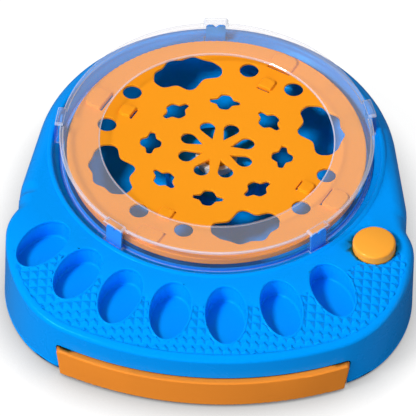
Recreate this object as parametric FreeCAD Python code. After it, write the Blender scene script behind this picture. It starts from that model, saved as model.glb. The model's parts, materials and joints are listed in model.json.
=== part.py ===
import FreeCAD, Part
import os
from math import acos, asin, cos, hypot, pi, radians, sin, sqrt, tan

# Spin art machine. Millimetres, +Z up, front towards -Y.
# Everything is built about the spindle axis and moved at export, so that the
# origin lies under the middle of the whole object's box, on the table.

# Overall housing
body_width = 274.0
front_reach = 176.5
rear_radius = 121.5
front_arc_radius = 220.0
front_arc_turn = 25.0
corner_turn = 33.0
flank_radius = 93.7
waist_out_radius = 36.0
waist_in_radius = 22.0
waist_turn = 28.0
waist_straight = 6.0
hip_radius = 70.0
wall = 2.4

# Heights above the table
foot_height = 2.4
base_top = 4.5
base_thickness = 2.4
crest_height = 56.1
deck_height = 55.2
turntable_top = 59.0

# Domed front of the deck
dome_centre_back = 50.0
dome_flat_radius = 161.0
dome_curve_radius = 148.0
front_rim_radius = 3.5
rear_rim_radius = 11.0

# Bowl and the seat of the guard
bowl_radius = 102.0
bowl_floor = 28.0
bowl_corner = 14.0
bowl_wall = 2.2
boss_radius = 34.0
boss_height = 48.0
boss_corner = 6.0
groove_outer = 106.2
groove_floor = 50.2
ledge_outer = 109.6
ledge_height = 52.6
crest_outer = 114.0
bowl_lip = 1.4
bowl_seam_gap = 0.15
bowl_flange = 109.0
bowl_flange_thickness = 1.6
cup_bond = 0.1

# Paint wells and the button's place, on one arc round the spindle
place_angles = (-51.5, -37.6, -23.7, -9.4, 5.6, 20.7, 36.0)
well_fan = 0.75
button_angle = 54.7
place_radius = 142.7
button_radius = 134.6
well_length = 43.4
well_width = 27.4
well_wall = 1.8
well_floor = 40.5
well_round = 1.6

# Recessed grip field
grip_inset = 5.0
grip_inner_radius = 139.3
grip_right_angle = 58.8
grip_right_end = 50.5
grip_left_end = 61.0
grip_depth = 0.8
grip_margin = 1.6

# Turntable
turntable_radius = 100.8
turntable_thickness = 2.2
skirt_height = 2.6
skirt_width = 1.8
petal_count = 8
petal_inner = 10.0
petal_outer = 26.5
petal_width = 10.4
petal_turn = 1.0
hub_radius = 9.6
hub_height = 8.4
quad_radius = 44.6
quad_lobe = 7.2
quad_lobe_half = 2.9
quad_tip = 10.2
quad_tip_half = 1.6
quad_waist = (2.9, 5.2)
quad_rounds = (3.2, 2.4, 1.5)
round_hole_radius = 77.0
round_hole_size = 12.8
round_hole_half_angle = 12.94
cloud_radius = 70.5
clip_reach = 92.4
clip_width = 17.0
clip_length = 13.0
clip_height = 2.0
small_clip_reach = 69.5
small_clip_width = 9.4
small_clip_length = 9.0
clip_slot = 1.6
pattern_turn = 63.5

# Splash guard
guard_top = 70.8
guard_top_radius = 106.0
guard_low_radius = 105.3
guard_opening = 78.8
guard_gap = 0.4
guard_tab_rise = 1.2
guard_tab_wall = 1.2
guard_tab_round = 2.0
guard_lip_drop = 1.7
guard_wall = 1.6
guard_edge = 0.7
guard_bond = 0.05
guard_tab_width = 16.6
guard_tab_proud = 3.4
guard_tab_angles = (93.4, 18.6, 173.8, 233.0, 312.6)
post_width = 13.2
post_thickness = 1.4
post_height = 11.6
post_notch = 2.2

# Push button and its switch
button_size = 29.0
button_gap = 0.5
button_proud = 5.2
button_dome = 1.4
button_edge = 2.2
button_travel = 3.0
button_skirt = 12.0
button_wall = 2.0
guide_wall = 1.6
guide_floor_height = 36.0
guide_floor_thickness = 2.0
plunger_size = 6.0
plunger_gap = 0.4
plunger_tip = 25.0
clip_ring_size = 11.0
clip_ring_thickness = 1.2
spring_wire = 0.9
spring_coil_size = 9.6
spring_turns = 6

# Drawer
drawer_top_width = 197.0
drawer_low_width = 190.4
drawer_bottom = 2.2
drawer_top = 23.6
drawer_proud = 4.5
drawer_gap = 0.7
drawer_corner = 2.4
drawer_edge = 1.3
tray_width = 172.0
tray_depth = 104.0
tray_height = 15.2
tray_wall = 1.8
runner_gap = 0.4
runner_height = 6.0
runner_width = 2.4

# Spindle drive
spindle_size = 3.0
running_gap = 0.05
spindle_bottom = 6.0
gear_module = 0.5
gear_teeth = 60
pinion_teeth = 12
gear_height = 40.0
gear_thickness = 3.6
tooth_slack = 0.14
bush_size = 8.0
collar_outer = 14.0
collar_inner = 10.6
collar_height = 5.4
bracket_height = 37.6
bracket_thickness = 1.6
motor_size = 20.4
motor_flat = 15.4
motor_length = 25.0
motor_cap = 4.0
motor_shaft_size = 2.0
post_circle = 27.0
post_size = 6.0

# Battery bay
cell_size = 14.2
cell_length = 49.6
cell_pitch = 15.2
cell_count = 4
cell_bottom = 5.0
bay_centre_back = 76.0
bay_wall = 1.8
bay_end_room = 6.0
door_thickness = 2.0
door_gap = 0.4

# Fasteners and feet
screw_size = 3.0
screw_head = 5.6
screw_head_height = 2.0
screw_boss = 8.0
small_screw = 2.2
small_screw_head = 4.2
door_screw_size = 1.8
boss_gap = 0.4
foot_size = 15.0
wire_size = 1.5

# Worked out from the values above
seat_gap = 0.3
spindle_back = (front_reach + drawer_proud - rear_radius) / 2
gear_distance = gear_module * (gear_teeth + pinion_teeth) / 2
turntable_low = turntable_top - turntable_thickness
base_low = base_top - base_thickness
floor_top = base_low + base_thickness


def vec(x, y, z=0.0):
    return FreeCAD.Vector(x, y, z)


def box(x0, x1, y0, y1, z0, z1):
    return Part.makeBox(x1 - x0, y1 - y0, z1 - z0, vec(x0, y0, z0))


def cylinder(radius, z0, z1, x=0.0, y=0.0):
    return Part.makeCylinder(radius, z1 - z0, vec(x, y, z0))


def tube(outer, inner, z0, z1, x=0.0, y=0.0):
    return cylinder(outer, z0, z1, x, y).cut(cylinder(inner, z0 - 1, z1 + 1, x, y))


def prism(wire, z0, z1):
    face = Part.Face(wire)
    face.translate(vec(0, 0, z0))
    return face.extrude(vec(0, 0, z1 - z0))


def polygon(points):
    corners = [vec(*p) for p in points]
    return Part.makePolygon(corners + corners[:1])


def revolve(profile, y=0.0):
    """Solid of revolution about a vertical axis, from (radius, height) points."""
    wire = Part.makePolygon([vec(r, 0, z) for r, z in profile + profile[:1]])
    solid = Part.Face(wire).revolve(vec(0, 0, 0), vec(0, 0, 1), 360)
    solid.translate(vec(0, y, 0))
    return solid


def turned(shape, angle):
    copy = shape.copy()
    copy.rotate(vec(0, 0, 0), vec(0, 0, 1), angle)
    return copy


def polar(radius, angle):
    """Point at an angle counted from +X."""
    return radius * cos(radians(angle)), radius * sin(radians(angle))


def place_point(index):
    """Centre of a well, counted from the left."""
    return polar(place_radius, -90 + place_angles[index])


def solid_of(shape):
    return shape.removeSplitter().Solids[0]


# Outline of the housing

def outline_steps():
    """Arcs of the right half, from the front's middle to the rear circle.

    Each is (centre x, centre y, radius, first heading, last heading, side), where
    side is 1 for a convex arc and -1 for the hollow one at the waist.
    """
    steps = []
    x, y, heading = 0.0, -front_reach, 0.0
    turn_one = front_arc_turn
    turn_two = front_arc_turn + corner_turn
    spread = front_arc_radius * sin(radians(turn_one))
    spread += flank_radius * (1 - sin(radians(turn_two)))
    corner_radius = (body_width / 2 - spread) / (sin(radians(turn_two)) - sin(radians(turn_one)))

    def arc(radius, last, side):
        nonlocal x, y, heading
        cx = x - side * radius * sin(radians(heading))
        cy = y + side * radius * cos(radians(heading))
        steps.append((cx, cy, radius, heading, last, side))
        x = cx + side * radius * sin(radians(last))
        y = cy - side * radius * cos(radians(last))
        heading = last

    arc(front_arc_radius, turn_one, 1)
    arc(corner_radius, turn_two, 1)
    arc(flank_radius, 90.0, 1)
    arc(waist_out_radius, 90.0 + waist_turn, 1)
    arc(waist_in_radius, 88.0, -1)
    y += waist_straight
    low, high = 88.0, 175.0
    cx = x - hip_radius * sin(radians(88.0))
    cy = y + hip_radius * cos(radians(88.0))
    for _ in range(60):
        mid = (low + high) / 2
        px = cx + hip_radius * sin(radians(mid))
        py = cy - hip_radius * cos(radians(mid))
        reach = px * sin(radians(mid)) - py * cos(radians(mid))
        low, high = (mid, high) if reach > rear_radius else (low, mid)
    arc(hip_radius, (low + high) / 2, 1)
    steps.append((0.0, 0.0, rear_radius, heading, 180.0, 1))
    return steps


outline_arcs = outline_steps()


def outline(inset=0.0):
    """Closed wire of the housing's plan, moved inwards by inset."""
    edges = []
    last = None
    for cx, cy, radius, first, final, side in outline_arcs:
        reach = side * (radius - side * inset)

        def point(heading):
            return vec(cx + reach * sin(radians(heading)), cy - reach * cos(radians(heading)))

        ends = [point(first), point((first + final) / 2), point(final)]
        if last is not None and (ends[0] - last).Length > 1e-6:
            edges.append([last, ends[0]])
        edges.append(ends)
        last = ends[-1]
    shapes = []
    for sign in (1, -1):
        for points in edges:
            corners = [vec(sign * p.x, p.y) for p in points]
            if len(corners) == 2:
                shapes.append(Part.makeLine(*corners))
            else:
                shapes.append(Part.Arc(*corners).toShape())
    return Part.Wire(Part.__sortEdges__(shapes))


def front_wall_y(x, offset=0.0):
    """Y of the front wall at x, moved outwards by offset."""
    radius = front_arc_radius + offset
    return -front_reach + front_arc_radius - sqrt(radius ** 2 - x ** 2)


def dome_height(x, y, drop=0.0):
    """Height of the deck's top face at a point, or of a face below it by drop."""
    reach = hypot(x, y - dome_centre_back)
    past = max(0.0, reach - dome_flat_radius)
    return deck_height - dome_curve_radius + sqrt((dome_curve_radius - drop) ** 2 - past ** 2)


def dome(drop, z0):
    """Solid below the deck's top face, or below a face inside it by drop."""
    tip, edges = dome_line(drop)
    top = edges[0].Vertexes[0].Point
    edges.append(Part.makeLine(tip, vec(tip.x, 0, z0)))
    edges.append(Part.makeLine(vec(tip.x, 0, z0), vec(0, 0, z0)))
    edges.append(Part.makeLine(vec(0, 0, z0), top))
    return dome_solid(edges)


def dome_line(drop):
    """Flat and rounded stretch of the deck's profile, and its outer end."""
    end = radians(60)
    radius = dome_curve_radius - drop
    centre = deck_height - dome_curve_radius

    def point(angle):
        return vec(dome_flat_radius + radius * sin(angle), 0, centre + radius * cos(angle))

    edges = [Part.makeLine(vec(0, 0, deck_height - drop), point(0)),
             Part.Arc(point(0), point(end / 2), point(end)).toShape()]
    return point(end), edges


def dome_solid(edges):
    solid = Part.Face(Part.Wire(edges)).revolve(vec(0, 0, 0), vec(0, 0, 1), 360)
    solid.translate(vec(0, dome_centre_back, 0))
    return solid


def dome_skin(drop, rise):
    """Layer of the deck from drop below its top face to rise above it."""
    low_tip, low = dome_line(drop)
    high_tip, high = dome_line(-rise)
    edges = low + [Part.makeLine(low_tip, high_tip)] + high[::-1]
    edges.append(Part.makeLine(vec(0, 0, deck_height + rise), vec(0, 0, deck_height - drop)))
    return dome_solid(edges)


def rim_fillet(shape):
    """Rounds the rim: tight along the front, softer round the sides and rear."""
    doc = FreeCAD.newDocument("rim")
    source = doc.addObject("Part::Feature", "Source")
    source.Shape = shape
    rounds = []
    waist_y = outline_arcs[3][1]
    rear_y = outline_arcs[5][1]

    def radius_at(y):
        share = min(1.0, max(0.0, (y - waist_y) / (rear_y - waist_y)))
        return front_rim_radius + share * (rear_rim_radius - front_rim_radius)

    for index, edge in enumerate(shape.Edges, 1):
        low = edge.BoundBox
        if low.ZMin < base_top + 5 or low.ZMax - low.ZMin > 25:
            continue
        middle = edge.valueAt((edge.FirstParameter + edge.LastParameter) / 2)
        if not on_wall(middle):
            continue
        first = edge.valueAt(edge.FirstParameter)
        final = edge.valueAt(edge.LastParameter)
        rounds.append((index, radius_at(first.y), radius_at(final.y)))
    blend = doc.addObject("Part::Fillet", "Blend")
    blend.Base = source
    blend.Edges = rounds
    doc.recompute()
    result = blend.Shape.copy()
    FreeCAD.closeDocument("rim")
    return result


outline_wire = outline()


def on_wall(point):
    flat = Part.Vertex(vec(point.x, point.y))
    return outline_wire.distToShape(flat)[0] < 0.01


def ellipse_prism(length, width, z0, z1, x, y, angle):
    """Upright oval whose length points along the angle."""
    curve = Part.Ellipse(vec(0, 0), length / 2, width / 2)
    shape = prism(Part.Wire(curve.toShape()), z0, z1)
    shape.rotate(vec(0, 0, 0), vec(0, 0, 1), angle)
    shape.translate(vec(x, y, 0))
    return shape


def well(index, grow, z0, z1):
    """Upright oval at a well's place; the ovals fan out less than their places do."""
    x, y = place_point(index)
    angle = -90 + well_fan * place_angles[index]
    return ellipse_prism(well_length + 2 * grow, well_width + 2 * grow, z0, z1, x, y, angle)


def well_hollow(index):
    shape = well(index, 0, well_floor, deck_height + 9)
    return shape.makeFillet(well_round, [e for e in shape.Edges if e.BoundBox.ZMax < well_floor + 0.1])


def bowl_profile():
    """Inner faces of the bowl, from its axis outwards, as (radius, height)."""
    points = [(0.0, boss_height)]
    for step in range(7):
        a = radians(step * 15)
        points.append((boss_radius - boss_corner + boss_corner * sin(a),
                       boss_height - boss_corner + boss_corner * cos(a)))
    points.append((boss_radius, bowl_floor + 0.6))
    for step in range(7):
        a = radians(step * 15)
        points.append((bowl_radius - bowl_corner + bowl_corner * sin(a),
                       bowl_floor + bowl_corner - bowl_corner * cos(a)))
    points.append((bowl_radius, ledge_height))
    return points


def make_bowl_shell():
    """Bowl with its raised middle, and a flange that is bonded up under the housing's ring."""
    inner = bowl_profile()
    under = [(max(0.0, boss_radius - bowl_wall), boss_height - bowl_wall),
             (boss_radius - bowl_wall, bowl_floor - bowl_wall),
             (bowl_radius - bowl_corner, bowl_floor - bowl_wall)]
    for step in range(1, 7):
        a = radians(step * 15)
        reach = bowl_corner + bowl_wall
        under.append((bowl_radius - bowl_corner + reach * sin(a),
                      bowl_floor + bowl_corner - reach * cos(a)))
    seat = groove_floor - bowl_wall
    under.append((bowl_radius + bowl_wall, seat - bowl_flange_thickness))
    under.append((bowl_flange, seat - bowl_flange_thickness))
    lip = [(bowl_radius + 1.0, ledge_height),
           (bowl_radius + bowl_lip, groove_floor),
           (bowl_radius + bowl_lip, seat),
           (bowl_flange, seat)]
    first = [(0.0, boss_height - bowl_wall)]
    return revolve(inner + lip + under[::-1] + first)


def make_seat_ring():
    """Ring of the housing round the bowl: the guard's groove, its ledge and the crest."""
    seat = groove_floor - bowl_wall
    inner = bowl_radius + bowl_lip + bowl_seam_gap
    ring = [(inner, seat),
           (inner, groove_floor),
           (groove_outer, groove_floor),
           (groove_outer + 0.2, ledge_height - 0.2),
           (ledge_outer, ledge_height),
           (ledge_outer + 0.7, crest_height - 0.9),
           (ledge_outer + 1.5, crest_height - 0.1),
           (ledge_outer + 2.4, crest_height),
           (ledge_outer + 3.4, crest_height - 0.1),
           (crest_outer, crest_height - 0.7),
           (crest_outer, seat)]
    return revolve(ring)


def make_bowl():
    bowl = make_bowl_shell()
    for angle in bracket_angles():
        px, py = polar(post_circle, angle)
        foot = bracket_height + bracket_thickness
        bowl = bowl.fuse(cylinder(post_size / 2, foot, boss_height - 1, px, py))
    for angle in bracket_angles():
        px, py = polar(post_circle, angle)
        bowl = bowl.cut(cylinder(small_screw / 2 - 0.2, bracket_height, boss_height - 3.5, px, py))
    bowl = bowl.cut(cylinder(bush_size / 2, boss_height - 6, boss_height + 2))
    return bowl.Solids[0]


def make_cups():
    """Seven tubs, bonded up under the deck round its oval holes."""
    below = housing_room(cup_bond)
    cups = []
    for index in range(len(place_angles)):
        cup = well(index, well_wall, well_floor - well_wall, deck_height + 5).common(below)
        cups.append(solid_of(cup.cut(well_hollow(index))))
    return Part.makeCompound(cups)


def grip_region(z0, z1, margin=0.0):
    """Prism over the grip field in plan."""
    points = []
    for angle in place_angles + (grip_right_angle,):
        points.append(polar(grip_inner_radius + margin, -90 + angle))
    reach = body_width
    ends = (-90 + grip_right_end, -90 - grip_left_end)
    points += [polar(reach, ends[0]), polar(reach, -60), polar(reach * 1.2, -90),
               polar(reach, -120), polar(reach, ends[1])]
    field = prism(polygon(points), z0, z1)
    field = field.common(prism(outline(grip_inset + margin), z0, z1))
    for index in range(len(place_angles)):
        field = field.cut(well(index, grip_margin + margin, z0 - 1, z1 + 1))
    x, y = button_point()
    rim = button_size / 2 + button_gap + grip_margin + margin
    return field.cut(cylinder(rim, z0 - 1, z1 + 1, x, y))


def drawer_outline(grow, depth_in, depth_out, z_low, z_high):
    """Slanted-ended block along the front arc; grow widens it all round."""
    half_top = drawer_top_width / 2 + grow
    half_low = drawer_low_width / 2 + grow
    face = polygon([(-half_low, 0, z_low - grow), (half_low, 0, z_low - grow),
                    (half_top, 0, z_high + grow), (-half_top, 0, z_high + grow)])
    block = Part.Face(face).extrude(vec(0, -2 * front_reach, 0))
    sides = [e for e in block.Edges if e.Length > 2 * front_reach - 1 and e.BoundBox.ZMin > z_low + 5]
    block = block.makeFillet(drawer_corner + grow, sides)
    outer = front_arc_radius + depth_out
    inner = front_arc_radius - depth_in
    centre = front_arc_radius - front_reach
    ring = tube(outer, inner, z_low - 5, z_high + 5, 0, centre)
    return block.common(ring)


def make_upper_housing():
    shell = prism(outline(), base_top, deck_height + 20).common(dome(0, base_top - 1))
    shell = rim_fillet(shell)
    limit = shell.copy()
    limit.translate(vec(0, 0, -wall / 2))
    shell = shell.cut(housing_room())
    shell = shell.cut(cylinder(crest_outer - 0.5, base_top, deck_height + 20))
    shell = shell.fuse(make_seat_ring())
    x, y = button_point()
    hole = button_size / 2 + button_gap
    guide_low = guide_floor_height - guide_floor_thickness
    shell = shell.fuse(cylinder(hole + guide_wall, guide_low, deck_height + 5, x, y).common(limit))
    hollows = [well_hollow(i) for i in range(len(place_angles))]
    hollows.append(cylinder(hole, guide_floor_height, deck_height + 20, x, y))
    hollows.append(cylinder(plunger_size / 2 + plunger_gap, guide_low - 1, deck_height, x, y))
    for px, py in screw_points():
        boss = cylinder(screw_boss / 2, floor_top, deck_height + 5, px, py)
        shell = shell.fuse(boss.common(limit))
        hollows.append(cylinder(screw_size / 2 - 0.2, floor_top - 1, floor_top + 12, px, py))
    shell = shell.cut(Part.makeCompound(hollows))
    for angle in guard_tab_angles:
        shell = shell.fuse(guard_post(angle))
    shell = shell.cut(dome_skin(grip_depth, 3).common(grip_region(5, deck_height + 9)))
    shell = shell.cut(drawer_outline(drawer_gap, 12, 12, base_top - 4, drawer_top))
    return shell.Solids[0]


def housing_room(gap=0.0):
    """Space under the deck, stepped in below the rounded rim so that the wall stays whole."""
    inner_round = rear_rim_radius - wall
    centre_height = deck_height - rear_rim_radius - gap
    room = prism(outline(wall + gap), base_top - 1, centre_height)
    for turn in (25, 45, 65, 90):
        inset = rear_rim_radius + gap - inner_round * cos(radians(turn))
        top = centre_height + inner_round * sin(radians(turn))
        room = room.fuse(prism(outline(inset), base_top - 1, top))
    return room.common(dome(wall + gap, base_top - 2))


def guard_post(angle):
    """Two-lobed post on the crest's groove, inside one of the guard's tabs."""
    r0 = guard_low_radius + guard_gap
    r1 = r0 + post_thickness
    low = groove_floor - 1.0
    top = crest_height + post_height
    block = box(r0, r1, -post_width / 2, post_width / 2, low, top)
    notch = polygon([(r0 - 1, -post_notch, top + 0.01), (r0 - 1, post_notch, top + 0.01),
                     (r0 - 1, 0, top - post_notch)])
    block = block.cut(Part.Face(notch).extrude(vec(post_thickness + 2, 0, 0)))
    corners = [e for e in block.Edges if e.BoundBox.ZMin > top - 0.01 and e.BoundBox.YLength < 0.01]
    outer = [e for e in corners if abs(e.BoundBox.YMin) > post_width / 2 - 0.01]
    block = block.makeFillet(post_notch, outer)
    block = block.makeFillet(1.2, [e for e in block.Edges if e.BoundBox.XLength > post_thickness - 0.01
                                   and abs(abs(e.BoundBox.Center.y) - post_notch) < 0.05])
    return turned(block, angle)


def screw_points():
    """Housing screws, round the rim where the walls leave room."""
    inset = wall + screw_boss / 2 + 1.0
    reach = rear_radius - inset
    points = [polar(reach, a) for a in (128.0, 52.0)]
    half = body_width / 2 - inset
    points += [(-half + 6, -18.0), (half - 6, -18.0)]
    points += [(-half + 14, -118.0), (half - 14, -118.0)]
    return points


def bracket_angles():
    return (12.0, 168.0, 270.0)


def make_base_plate():
    plate = prism(outline(), base_low, base_top)
    lip = prism(outline(wall + 0.3), base_top - 1, base_top + 3)
    lip = lip.cut(prism(outline(wall + 0.3 + 1.6), base_top - 2, base_top + 4))
    plate = plate.fuse(lip)
    plate = plate.fuse(cylinder(bush_size / 2 + 2.5, base_low, 14.0))
    plate = plate.fuse(bay_walls())
    for sign in (-1, 1):
        inner = tray_width / 2 + runner_gap
        x0, x1 = sorted((sign * inner, sign * (inner + runner_width)))
        back = front_wall_y(0) + tray_depth + 8
        plate = plate.fuse(box(x0, x1, front_wall_y(inner) + 8, back, base_low, floor_top + runner_height))
    stop = box(-20, 20, tray_back() + 1.0, tray_back() + 3.4, base_low, floor_top + 9)
    plate = plate.fuse(stop)
    cuts = [cylinder(bush_size / 2, floor_top + 1.5, 20)]
    for x, y in screw_points():
        plate = plate.fuse(cylinder(screw_boss / 2, base_low, floor_top, x, y))
        cuts.append(cylinder(screw_boss / 2 + boss_gap, floor_top, floor_top + 5, x, y))
        cuts.append(cylinder(screw_size / 2 + 0.2, 0, 12, x, y))
        cuts.append(cylinder(screw_head / 2 + 0.3, 0, base_low + screw_head_height / 2 + 0.2, x, y))
    for x, y in foot_points():
        cuts.append(cylinder(foot_size / 2, 0, foot_height, x, y))
    x, y = door_screw_point()
    plate = plate.fuse(cylinder(small_screw + 1, base_low, floor_top + 6, x, y))
    cuts.append(cylinder(door_screw_size / 2, 0, floor_top + 4, x, y))
    cuts.append(bay_room())
    cuts.append(drawer_outline(drawer_gap, 3.2, 12, base_low - 6, floor_top + 20))
    cuts.append(drawer_outline(drawer_gap, 8, 12, floor_top + drawer_gap, floor_top + 20))
    plate = plate.cut(Part.makeCompound(cuts))
    return solid_of(plate)


def foot_points():
    points = [polar(rear_radius - 24, a) for a in (120.0, 60.0)]
    half = body_width / 2 - 24
    return points + [(-half, -80.0), (half, -80.0), (0.0, -130.0)]


def bay_extent():
    """Battery bay's inner box: half width, front, back and roof."""
    half = cell_length / 2 + bay_end_room
    deep = cell_pitch * cell_count / 2 + 0.4
    roof = cell_bottom + cell_size + 0.6
    return half, bay_centre_back - deep, bay_centre_back + deep, roof


def door_screw_point():
    return 0.0, bay_extent()[1] - 1.5


def bay_walls():
    half, y0, y1, roof = bay_extent()
    w = bay_wall
    return box(-half - w, half + w, y0 - w, y1 + w, base_low, roof + w)


def bay_room():
    half, y0, y1, roof = bay_extent()
    room = box(-half, half, y0, y1, base_low - 1, roof)
    ledge = 3.0
    seat = box(-half - ledge, half + ledge, y0 - ledge, y1 + ledge, 0, base_low + door_thickness)
    x, y = door_screw_point()
    tab = cylinder(small_screw_head / 2 + 1.6 + door_gap, 0, base_low + door_thickness, x, y)
    return room.fuse(seat).fuse(tab)


def make_battery_door():
    half, y0, y1, _ = bay_extent()
    reach = 3.0 - door_gap
    door = box(-half - reach, half + reach, y0 - reach, y1 + reach, base_low, base_low + door_thickness)
    ribs = [box(-half + 6, half - 6, y, y + 1.4, base_low + 1, cell_bottom - 0.3)
            for y in (bay_centre_back - 16, bay_centre_back + 14.6)]
    for rib in ribs:
        door = door.fuse(rib)
    pull = Part.makeCylinder(7, 4, vec(0, y1 - 6, base_low - 3.2))
    x, y = door_screw_point()
    tab = cylinder(small_screw_head / 2 + 1.6, base_low, base_low + door_thickness, x, y)
    hole = cylinder(small_screw / 2 + 0.2, 0, 12, x, y)
    head = cylinder(small_screw_head / 2 + 0.2, 0, base_low + 0.9, x, y)
    return solid_of(door.fuse(tab).cut(pull).cut(hole).cut(head))


def tray_back():
    return front_wall_y(0) + tray_depth


def make_drawer_front():
    panel = drawer_outline(0, 0, drawer_proud, drawer_bottom, drawer_top)
    edges = []
    for edge in panel.Edges:
        middle = edge.valueAt((edge.FirstParameter + edge.LastParameter) / 2)
        reach = hypot(middle.x, middle.y - front_arc_radius + front_reach)
        if reach > front_arc_radius + drawer_proud - 0.01:
            edges.append(edge)
    panel = panel.makeFillet(drawer_edge, edges)
    plug = drawer_outline(-0.6, wall + 2.2, 0.5, base_top + seat_gap + 0.9, drawer_top)
    plug = plug.common(box(-tray_width / 2, tray_width / 2, -2 * front_reach, 0, 0, 60))
    return solid_of(panel.fuse(plug))


def make_drawer_tray():
    back = tray_back()
    low = floor_top + seat_gap
    high = low + tray_height
    half = tray_width / 2
    ring = front_arc_radius - wall - 2.2
    centre = front_arc_radius - front_reach
    block = box(-half, half, -2 * front_reach, back, low, high)
    block = block.common(cylinder(ring, low - 1, high + 1, 0, centre))
    side = half - tray_wall
    room = box(-side, side, -2 * front_reach, back - tray_wall, low + tray_wall, high + 1)
    room = room.common(cylinder(ring - tray_wall, low - 1, high + 2, 0, centre))
    return solid_of(block.cut(room))


def rounded_path(points, radius):
    """Closed smooth wire through rounded corners, with one radius or a list of them."""
    count = len(points)
    radii = radius if isinstance(radius, list) else [radius] * count
    edges = []
    ends = []
    for i in range(count):
        before = vec(*points[i - 1])
        here = vec(*points[i])
        after = vec(*points[(i + 1) % count])
        u = (before - here).normalize()
        w = (after - here).normalize()
        turn = acos(max(-1, min(1, u.dot(w))))
        back = min(radii[i] / tan(turn / 2), 0.48 * (before - here).Length, 0.48 * (after - here).Length)
        p0 = here + u * back
        p1 = here + w * back
        reach = back * tan(turn / 2)
        centre = here + (u + w).normalize() * (back / cos(turn / 2))
        middle = centre + (here - centre).normalize() * reach
        edges.append(Part.Arc(p0, middle, p1).toShape())
        ends.append((p0, p1))
    for i in range(count):
        a = ends[i][1]
        b = ends[(i + 1) % count][0]
        if (a - b).Length > 1e-6:
            edges.append(Part.makeLine(a, b))
    return Part.Wire(Part.__sortEdges__(edges))


def petal_wire():
    """Teardrop along +X, its point towards the axis."""
    round_radius = petal_width / 2
    centre = petal_outer - round_radius
    reach = centre - petal_inner
    lean = asin(round_radius / reach)
    tx = centre - round_radius * sin(lean)
    ty = round_radius * cos(lean)
    tip = vec(petal_inner, 0)
    return Part.Wire([Part.makeLine(tip, vec(tx, -ty)),
                      Part.Arc(vec(tx, -ty), vec(petal_outer, 0), vec(tx, ty)).toShape(),
                      Part.makeLine(vec(tx, ty), tip)])


def star_wire():
    """Four-lobed opening: broad lobes along X and narrow ones along Y."""
    wide, tall = quad_waist
    half = [(quad_lobe, -quad_lobe_half), (quad_lobe, quad_lobe_half), (wide, tall),
            (quad_tip_half, quad_tip), (-quad_tip_half, quad_tip), (-wide, tall)]
    lobe, hollow, tip = quad_rounds
    points = half + [(-x, -y) for x, y in half]
    return rounded_path(points, [lobe, lobe, hollow, tip, tip, hollow] * 2)


def cloud_wire():
    """Scalloped opening, centred on its own middle, its point inwards along -X."""
    points = [(-15.5, 2.0), (-5.5, -9.0), (-7.0, -21.5), (2.5, -24.0), (9.0, -19.5), (12.5, -14.0),
              (17.5, -8.0), (16.0, 0.5), (18.0, 9.0), (11.5, 15.0), (9.0, 21.5), (0.0, 24.5), (-7.0, 20.0),
              (-6.5, 10.0)]
    return rounded_path(points, 5.5)


def clip_pad(reach, width, length):
    """Card clip: a raised D-shaped pad whose straight side faces the axis."""
    inner = reach - length / 2
    outer = reach + length / 2
    points = [(inner, -width / 2), (outer, -width / 2), (outer, width / 2), (inner, width / 2)]
    corner = width * 0.3
    wire = rounded_path(points, corner)
    z0, z1 = turntable_top - 0.5, turntable_top + clip_height
    pad = prism(wire, z0, z1)
    front = box(inner, inner + corner, -width / 2, width / 2, z0, z1)
    pad = pad.fuse(front).removeSplitter()
    rim = [e for e in pad.Edges if e.BoundBox.ZMin > turntable_top + clip_height - 0.01
           and e.BoundBox.XMax > inner + 0.1]
    return pad.makeChamfer(0.5, rim)


def make_turntable():
    plate = cylinder(turntable_radius, turntable_low, turntable_top)
    plate = plate.makeFillet(0.8, [plate.Edges[0]])
    skirt_low = turntable_low - skirt_height
    skirt_inner = turntable_radius - skirt_width
    plate = plate.fuse(tube(turntable_radius, skirt_inner, skirt_low, turntable_low + 0.5))
    plate = plate.fuse(cylinder(hub_radius, turntable_low - hub_height, turntable_low + 0.5))
    cuts = []
    z0, z1 = turntable_low - 0.01, turntable_top + 1
    petal = prism(petal_wire(), turntable_low - 0.01, z1)
    for k in range(petal_count):
        cuts.append(turned(petal, k * 45 + petal_turn))
    star = prism(star_wire(), z0, z1)
    for k in range(8):
        lobe = star.copy()
        lobe.translate(vec(quad_radius, 0, 0))
        cuts.append(turned(lobe, 22.2 + 45 * k))
    cloud = prism(cloud_wire(), z0, z1)
    cloud.translate(vec(cloud_radius, 0, 0))
    clips = []
    for k in range(4):
        side = 90 * k
        cuts.append(turned(cloud, side + 45))
        for sign in (-1, 1):
            x, y = polar(round_hole_radius, side + sign * round_hole_half_angle)
            cuts.append(cylinder(round_hole_size / 2, z0, z1, x, y))
        large = clip_pad(clip_reach, clip_width, clip_length)
        small = clip_pad(small_clip_reach, small_clip_width, small_clip_length)
        clips += [turned(large, side), turned(small, side)]
        for reach, width, length in ((clip_reach, clip_width, clip_length),
                                     (small_clip_reach, small_clip_width, small_clip_length)):
            inner = reach - length / 2
            slot = box(inner - clip_slot, inner - 0.01, -width / 2, width / 2, z0, z1)
            cuts.append(turned(slot, side))
    plate = plate.cut(Part.makeCompound(cuts))
    for clip in clips:
        plate = plate.fuse(clip)
    bore = spindle_size / 2 + running_gap
    plate = plate.cut(drive_shape(0.15, turntable_low - hub_height - 1, turntable_low - 1.5))
    plate = plate.cut(cylinder(bore, turntable_low - 3, turntable_low - 0.6))
    return turned(solid_of(plate), pattern_turn)


def drive_shape(grow, z0, z1):
    """Six-sided drive between the spindle's hub and the turntable's boss."""
    return prism(polygon([polar(5.0 + grow, 60 * k) for k in range(6)]), z0, z1)


def make_drive_hub():
    low = turntable_low - hub_height + 0.4
    hub = drive_shape(0, low, turntable_low - 1.8)
    return turned(solid_of(hub.cut(cylinder(spindle_size / 2, low - 1, turntable_low))), pattern_turn)


def make_spindle():
    top = turntable_low - 0.9
    rod = cylinder(spindle_size / 2, spindle_bottom, top)
    return rod.makeChamfer(0.3, [e for e in rod.Edges if e.BoundBox.ZMax - e.BoundBox.ZMin < 1])


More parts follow.
